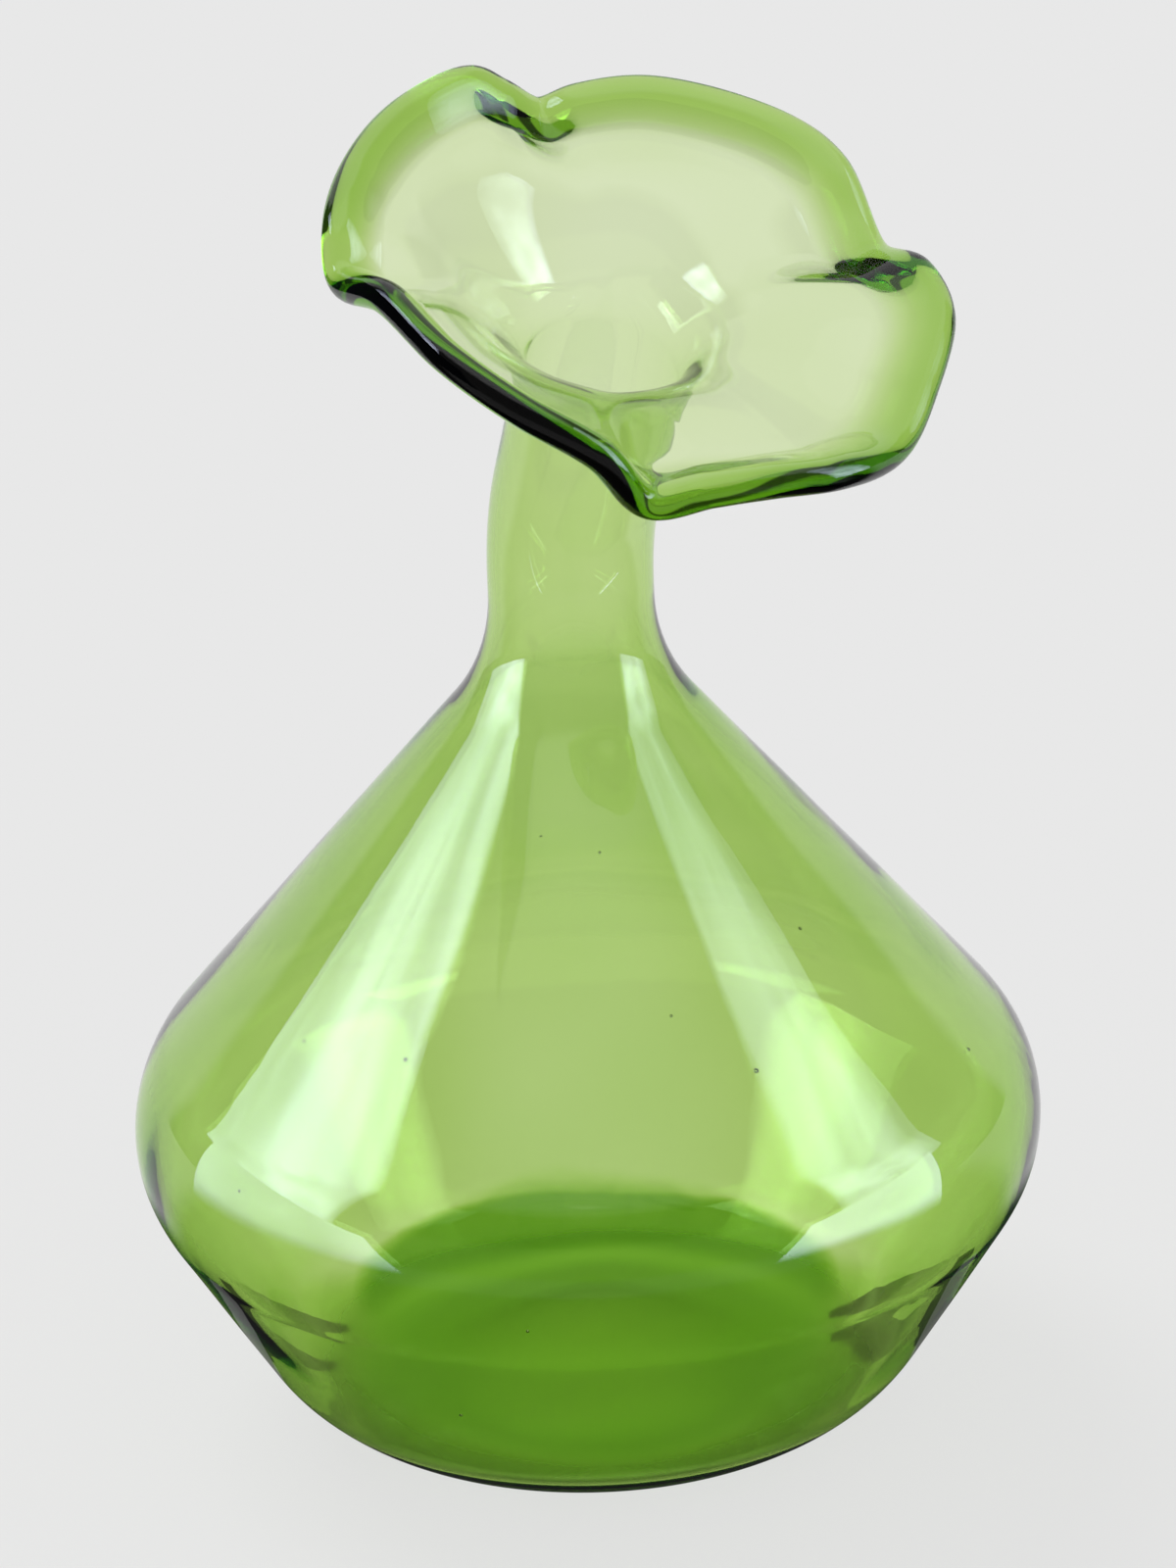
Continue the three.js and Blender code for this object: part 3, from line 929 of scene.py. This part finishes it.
@dataclass
class BlownVase:
    """The whole vase: one closed skin of glass over the rings of all its zones."""

    neck: BentNeck = field(default_factory=BentNeck)
    glass: GreenGlass = field(default_factory=GreenGlass)
    blown: HandBlown = field(default_factory=HandBlown)
    steps_around: int = 480
    body: RoundBody = field(init=False)
    mouth: RuffledMouth = field(init=False)

    def __post_init__(self) -> None:
        """Makes the body and the mouth to fit the neck."""
        self.body = RoundBody(self.neck)
        self.mouth = RuffledMouth(self.neck)

    def upright_rings(self, face: Face, bearings: np.ndarray) -> list[np.ndarray]:
        """The level rings of one face of the round body and the upright neck.

        Args:
            face: The face of the wall.
            bearings: The bearing of each point, in radians.

        Returns:
            The rings, from the middle of the bottom upward.
        """
        outer = face is Face.OUTER
        outline = self.body.outer_outline() if outer else self.body.inner_outline()
        return [self.neck.ring(np.array([0, 0, height]), 0, radius, bearings) for radius, height in outline]

    def rings(self) -> tuple[list[np.ndarray], int]:
        """Every ring of the skin, from the middle of the punt over the rim to the middle of the floor.

        Returns:
            The rings, and how many of them are outside, up to the edge of the rim.
        """
        bearings = self.mouth.bearings(self.steps_around)
        outside, inside = [], []
        for face, rings in ((Face.OUTER, outside), (Face.INNER, inside)):
            rings += self.upright_rings(face, bearings)
            rings += self.neck.rings(face, bearings)
        over = self.mouth.rings(self.steps_around)
        return outside + over + inside[::-1], len(outside) + len(over) // 2

    def rippled_rings(self) -> list[np.ndarray]:
        """Moves each point of the rings a little along the normal of the skin there.

        Returns:
            The moved rings, in the same order.
        """
        rings, outside = self.rings()
        skin = np.array(rings)
        around = np.roll(skin, -1, axis=1) - np.roll(skin, 1, axis=1)
        normals = np.cross(around, np.gradient(skin, axis=0))
        normals /= np.maximum(np.linalg.norm(normals, axis=2), SHORTEST_NORMAL)[:, :, None]
        moved = []
        for i, (ring, normal) in enumerate(zip(skin, normals)):
            face = Face.OUTER if i < outside else Face.INNER
            moved.append(ring + normal * self.blown.ripple(ring, face)[:, None])
        return moved

    def bubble(self, seed: Seed) -> tuple[np.ndarray, list[tuple[int, ...]]]:
        """A small round skin that faces inward, in the middle of the wall.

        Args:
            seed: Where the bubble is and how large.

        Returns:
            Its points in millimetres, and its faces.
        """
        outlines = (self.body.outer_outline(), self.body.inner_outline())
        distance = sum(np.interp(seed.height, line[:, 1], line[:, 0]) for line in outlines) / 2
        bearing = math.radians(seed.bearing)
        centre = np.array([distance * math.cos(bearing), distance * math.sin(bearing), seed.height])
        around, up = self.blown.seed_steps_around, self.blown.seed_steps_up
        bearings = 2 * math.pi * np.arange(around) / around
        points = [centre + np.array([0, 0, -seed.radius])]
        for k in range(1, up):
            level = -math.cos(math.pi * k / up) * seed.radius
            width = math.sin(math.pi * k / up) * seed.radius
            points += list(centre + polar(bearings, width, np.array(level)))
        points.append(centre + np.array([0, 0, seed.radius]))
        sides: list[tuple[int, ...]] = []
        for j in range(around):
            k = (j + 1) % around
            sides.append((0, 1 + j, 1 + k))
            for i in range(up - 2):
                here, above = 1 + i * around, 1 + (i + 1) * around
                sides.append((here + j, above + j, above + k, here + k))
            top = 1 + (up - 2) * around
            sides.append((top + j, len(points) - 1, top + k))
        return np.array(points), sides

    def build(self) -> bpy.types.Object:
        """Builds the skin as one closed mesh in metres.

        Returns:
            The vase's object, linked to the scene.
        """
        rings = self.rippled_rings()
        count = self.steps_around
        middles = [rings[0].mean(axis=0), rings[-1].mean(axis=0)]
        points = np.vstack([*rings, middles])
        faces = []
        for i in range(len(rings) - 1):
            here, above = i * count, (i + 1) * count
            for j in range(count):
                k = (j + 1) % count
                faces.append((here + j, here + k, above + k, above + j))
        first, last = len(points) - 2, len(points) - 1
        top = (len(rings) - 1) * count
        for j in range(count):
            k = (j + 1) % count
            faces.append((first, k, j))
            faces.append((last, top + j, top + k))
        for seed in self.blown.seeds:
            bubble, sides = self.bubble(seed)
            faces += [tuple(len(points) + i for i in side) for side in sides]
            points = np.vstack([points, bubble])
        mesh = bpy.data.meshes.new("vase_glass")
        mesh.from_pydata((points * METRES_PER_MM).tolist(), [], faces)
        mesh.validate()
        mesh.polygons.foreach_set("use_smooth", [True] * len(mesh.polygons))
        mesh.update()
        made = linked("vase_glass", mesh)
        LOG.info("vase_glass: %d rings of %d points, %d seeds", len(rings), count, len(self.blown.seeds))
        return made

    def dress(self, skin: bpy.types.Object) -> None:
        """Gives the skin its glass and sets it in the frame.

        Args:
            skin: The object from build().
        """
        skin.data.materials.append(self.glass.material())
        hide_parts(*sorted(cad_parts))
        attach(skin, "root")


class CardCorner(NamedTuple):
    """One corner of a card, in metres."""

    x: float
    y: float
    z: float


@dataclass(frozen=True)
class StudioCard:
    """A softbox or card near the vase, which only the vase's glass shows.

    Its light may differ low down and high up. Where it is hidden straight through, the glass
    mirrors it but doesn't show it from behind.
    """

    name: str
    corners: tuple[CardCorner, ...]
    radiances: tuple[float, float]
    fades_between: tuple[float, float] = (0.3, 0.6)
    colour: tuple[float, float, float, float] = (0.70, 0.78, 1.0, 1.0)
    one_sided: bool = False
    hidden_straight_through: bool = False
    soft_front: float = 0.0
    soft_back: float = 0.0
    soft_foot: float = 0.0
    edge_share: float = 0.3
    cloud_scale: float = 7.0
    cloud_detail: float = 3.0
    clouds_between: tuple[float, float] = (0.35, 0.65)
    cloud_shares: tuple[float, float] = (0.62, 1.12)

    def softened(self, wiring: Wiring) -> Socket:
        """How much of the card's light is left near its front, back and foot edges.

        Args:
            wiring: The material's node tree.

        Returns:
            The share of the light, 1 away from the edges.
        """
        _, from_front, from_foot = wiring.apart(wiring.generated())
        from_back = wiring.rest(from_front)
        whole = 1.0
        for place, soft in (
            (from_front, self.soft_front),
            (from_back, self.soft_back),
            (from_foot, self.soft_foot),
        ):
            if soft:
                whole = wiring.times(whole, wiring.ramp(place, 0.0, soft))
        return wiring.between(whole, self.edge_share, 1.0)

    def clouded(self, wiring: Wiring) -> Socket:
        """The unevenness of the card's light, as glass that isn't quite even shows it.

        Args:
            wiring: The material's node tree.

        Returns:
            The share of the light, about 1 on the whole.
        """
        noise = {"Vector": wiring.position(), "Scale": self.cloud_scale, "Detail": self.cloud_detail}
        cloud = wiring.add("ShaderNodeTexNoise", noise).outputs["Fac"]
        return wiring.between(wiring.ramp(cloud, *self.clouds_between), *self.cloud_shares)

    def material(self) -> bpy.types.Material:
        """Makes the card's light, which may differ low down and high up.

        Returns:
            The material.
        """
        made = bpy.data.materials.new(self.name)
        made.use_nodes = True
        made.node_tree.nodes.remove(made.node_tree.nodes["Principled BSDF"])
        wiring = Wiring(made.node_tree)
        upper = wiring.ramp(wiring.apart(wiring.position())[2], *self.fades_between)
        strength = wiring.between(upper, *self.radiances)
        strength = wiring.times(strength, self.softened(wiring))
        strength = wiring.times(strength, self.clouded(wiring))
        path = wiring.add("ShaderNodeLightPath").outputs
        strength = wiring.times(strength, wiring.none_yet(path["Diffuse Depth"]))
        if self.one_sided:
            turned_away = wiring.add("ShaderNodeNewGeometry").outputs["Backfacing"]
            strength = wiring.times(strength, wiring.rest(turned_away))
        light = wiring.emission(strength, self.colour)
        if self.hidden_straight_through:
            clear = wiring.add("ShaderNodeBsdfTransparent").outputs["BSDF"]
            light = wiring.mixed(wiring.none_yet(path["Glossy Depth"]), light, clear)
        wiring.feed(made.node_tree.nodes["Material Output"].inputs["Surface"], light)
        return made

    def build(self) -> bpy.types.Object:
        """Builds the card as one face.

        Returns:
            The card's object.
        """
        made = stage_sheet(self.name, [tuple(corner) for corner in self.corners], self.material())
        made.visible_camera = False
        made.visible_diffuse = False
        made.visible_shadow = False
        LOG.info("%s: radiance %g low down, %g high up", self.name, *self.radiances)
        return made


def leaning_card(
    name: str,
    sides: tuple[float, float],
    fronts: tuple[float, float],
    backs: tuple[float, float],
    heights: tuple[float, float],
    **light: object,
) -> StudioCard:
    """Describes a card that stands to the left or right of the vase, upright or leaning.

    Args:
        name: The card's name.
        sides: Where it stands along x, at its foot and at its top.
        fronts: Where its front edge is along y, at its foot and at its top.
        backs: Where its back edge is along y, at its foot and at its top.
        heights: The heights of its foot and of its top.
        **light: The card's light, as StudioCard has it.

    Returns:
        The card, which faces the vase.
    """
    corners = (
        CardCorner(sides[0], fronts[0], heights[0]),
        CardCorner(sides[0], backs[0], heights[0]),
        CardCorner(sides[1], backs[1], heights[1]),
        CardCorner(sides[1], fronts[1], heights[1]),
    )
    facing = corners[::-1] if sides[0] > 0 else corners
    return StudioCard(name, facing, hidden_straight_through=True, **light)


def painted_shade_sheet(name: str, side: float, corners: tuple[tuple[float, float], ...]) -> StudioCard:
    """A sheet of painted shade just over the table beside the foot, which only the glass shows, to the
    right at side 1; corners say how far out and back.
    """
    lying = tuple(CardCorner(side * out, back, PAINTED_SHADE_HEIGHT) for out, back in corners)
    return StudioCard(name, lying, (PAINTED_SHADE_RADIANCE, PAINTED_SHADE_RADIANCE), colour=WHITE)


@dataclass
class Studio:
    """The table, the plain light on it, and the cards, dark room and sheets of painted shade that the glass
    shows.
    """

    table: PaleTable = field(default_factory=PaleTable)
    table_half_width: float = 6.0
    table_drop: float = 0.0001
    plain_light: float = 0.62
    sun_share: float = 0.38
    sun_from: tuple[float, float, float] = (-0.5, 0.45, 1.0)
    sun_width: float = 35
    background: float = 0.807
    room: float = 0.10
    ceiling: float = 1.0
    ceiling_from: tuple[float, float] = (45.0, 60.0)
    backdrop_edges: tuple[float, float] = (127.0, 133.0)
    horizon: tuple[float, float] = (18.0, 24.0)
    dark_up_to: tuple[float, float] = (43.0, 49.0)
    overhead: float = 0.75
    cards: tuple[StudioCard, ...] = (
        leaning_card(
            "softbox_left",
            sides=(-0.46, -0.46),
            fronts=(-0.245, -0.245),
            backs=(0.16, 0.21),
            heights=(0.19, 0.80),
            radiances=(10.2, 7.8),
            soft_front=0.08,
            soft_back=0.55,
        ),
        leaning_card(
            "softbox_right",
            sides=(0.46, 0.46),
            fronts=(-0.265, -0.265),
            backs=(0.03, 0.03),
            heights=(0.19, 0.80),
            radiances=(8.4, 4.0),
            soft_front=0.12,
            soft_back=0.35,
        ),
        leaning_card(
            "low_card_left",
            sides=(-0.20, -0.131),
            fronts=(-0.25, -0.135),
            backs=(0.0015, -0.0228),
            heights=(0.045, 0.10),
            radiances=(6.5, 6.5),
            soft_foot=0.45,
            edge_share=0.1,
            one_sided=True,
        ),
        leaning_card(
            "low_card_right",
            sides=(0.20, 0.131),
            fronts=(-0.26, -0.143),
            backs=(-0.053, -0.051),
            heights=(0.045, 0.10),
            radiances=(7.0, 7.0),
            soft_foot=0.45,
            edge_share=0.1,
            one_sided=True,
        ),
        leaning_card(
            "flag_left",
            sides=(-0.085, -0.085),
            fronts=(-0.13, -0.13),
            backs=(0.02, 0.02),
            heights=(0.243, 0.30),
            radiances=(0.03, 0.03),
        ),
        # Painted shade: two dim sheets beside the foot, seen only through and in the glass.
        painted_shade_sheet(
            "painted_shade_left",
            -1,
            (
                (0.055, 0.004),
                (0.075, -0.003),
                (0.110, -0.003),
                (0.110, 0.010),
                (0.080, 0.0205),
                (0.055, 0.010),
            ),
        ),
        painted_shade_sheet(
            "painted_shade_right",
            1,
            (
                (0.051, 0.003),
                (0.085, -0.003),
                (0.112, -0.004),
                (0.112, 0.010),
                (0.082, 0.024),
                (0.068, 0.024),
                (0.051, 0.0095),
            ),
        ),
    )

    def build_table(self, glass: GreenGlass) -> bpy.types.Object:
        """Builds the table top as a wide sheet just under the foot ring.

        Args:
            glass: The glass that stands on it.

        Returns:
            The table's object.
        """
        half, below = self.table_half_width, -self.table_drop
        corners = [(x * half, y * half, below) for x, y in ((-1, -1), (1, -1), (1, 1), (-1, 1))]
        made = stage_sheet("table_top", corners, self.table.material(glass))
        LOG.info("table_top: %g m square", half * 2)
        return made

    def build_world(self) -> None:
        """Lights the scene with plain even light, and gives the glass a room to mirror and bend."""
        world = bpy.data.worlds.new("studio")
        bpy.context.scene.world = world
        world.use_nodes = True
        wiring = Wiring(world.node_tree)
        x, y, z = wiring.apart(wiring.generated())
        bearing = wiring.maths("ARCTAN2", x, wiring.times(y, -1.0))
        bearing = wiring.maths("DEGREES", wiring.maths("ABSOLUTE", bearing))
        height = wiring.maths("DEGREES", wiring.maths("ARCSINE", z))
        room = wiring.between(wiring.ramp(height, *self.ceiling_from), self.room, self.ceiling)
        mirrored = wiring.between(wiring.ramp(bearing, *self.backdrop_edges), room, self.background)
        through = wiring.between(wiring.ramp(height, *self.horizon), self.background, self.room)
        through = wiring.between(wiring.ramp(height, *self.dark_up_to), through, self.overhead)
        path = wiring.add("ShaderNodeLightPath").outputs
        shown = wiring.between(wiring.mirror_ray(path), through, mirrored)
        kinds = (wiring.from_eye(path, kind) for kind in ("Is Glossy Ray", "Is Transmission Ray"))
        by_glass = wiring.maths("MAXIMUM", *kinds)
        strength = wiring.between(by_glass, self.plain_light, shown)
        strength = wiring.between(path["Is Camera Ray"], strength, self.background)
        wiring.feed(world.node_tree.nodes["Background"].inputs["Strength"], strength)
        world.node_tree.nodes["Background"].inputs["Color"].default_value = WHITE
        LOG.info("studio: even light over a dark room with a pale backdrop")

    def build_sun(self) -> None:
        """Adds the wide soft light that lays the vase's shadow to the right."""
        data = bpy.data.lights.new("window", "SUN")
        towards = Vector(self.sun_from).normalized()
        data.energy = self.sun_share * math.pi / towards.z
        data.angle = math.radians(self.sun_width)
        made = linked("window", data)
        made.matrix_world = towards.to_track_quat("Z", "Y").to_matrix().to_4x4()
        made.visible_glossy = False
        made.visible_transmission = False
        LOG.info("sun: %g of the plain light, %g degrees wide", self.sun_share, self.sun_width)

    def build(self, glass: GreenGlass) -> None:
        """Builds the table, the cards, the lamp and the world.

        Args:
            glass: The glass that stands on the table.
        """
        self.build_table(glass)
        self.build_sun()
        for card in self.cards:
            card.build()
        self.build_world()


@dataclass
class PhotoCamera:
    """The camera at the photograph's place: in front, above, and rolled a little."""

    target: tuple[float, float, float] = (0.0, 0.0, 138.2)
    distance: float = 1300
    elevation: float = 22
    roll: float = -1.82
    right_step: float = 2.24
    lens: float = 144.86
    sensor_width: float = 36
    sees_between: tuple[float, float] = (0.05, 50)

    def build(self) -> bpy.types.Object:
        """Builds the camera and makes it the scene's own.

        Returns:
            The camera's object.
        """
        data = bpy.data.cameras.new("camera")
        data.lens = self.lens
        data.sensor_width = self.sensor_width
        data.clip_start, data.clip_end = self.sees_between
        made = linked("camera", data)
        up = math.radians(self.elevation)
        back = Vector((0, -math.cos(up), math.sin(up)))
        place = (Vector(self.target) + back * self.distance) * METRES_PER_MM
        place.x += self.right_step * METRES_PER_MM
        turn = (-back).to_track_quat("-Z", "Y").to_matrix().to_4x4()
        roll = Matrix.Rotation(math.radians(self.roll), 4, "Z")
        made.matrix_world = Matrix.Translation(place) @ turn @ roll
        bpy.context.scene.camera = made
        LOG.info("camera: %g mm away, %g degrees up", self.distance, self.elevation)
        return made


def set_light_paths() -> None:
    """Lets rays pass all the faces of the glass, and plain colour management show them as they are."""
    scene = bpy.context.scene
    scene.view_settings.view_transform = "Standard"
    cycles = scene.cycles
    cycles.max_bounces = 32
    cycles.transmission_bounces = 32
    cycles.glossy_bounces = 16
    cycles.diffuse_bounces = 4
    cycles.transparent_max_bounces = 16
    cycles.caustics_refractive = True
    cycles.caustics_reflective = True
    cycles.blur_glossy = 0.0
    cycles.use_denoising = True


def main() -> None:
    """Builds the vase, its studio and the camera in order."""
    logging.basicConfig(level=logging.INFO, format="%(name)s: %(message)s")
    set_light_paths()
    PhotoCamera().build()
    vase = BlownVase()
    vase.dress(vase.build())
    Studio().build(vase.glass)


if __name__ == "__main__":
    main()
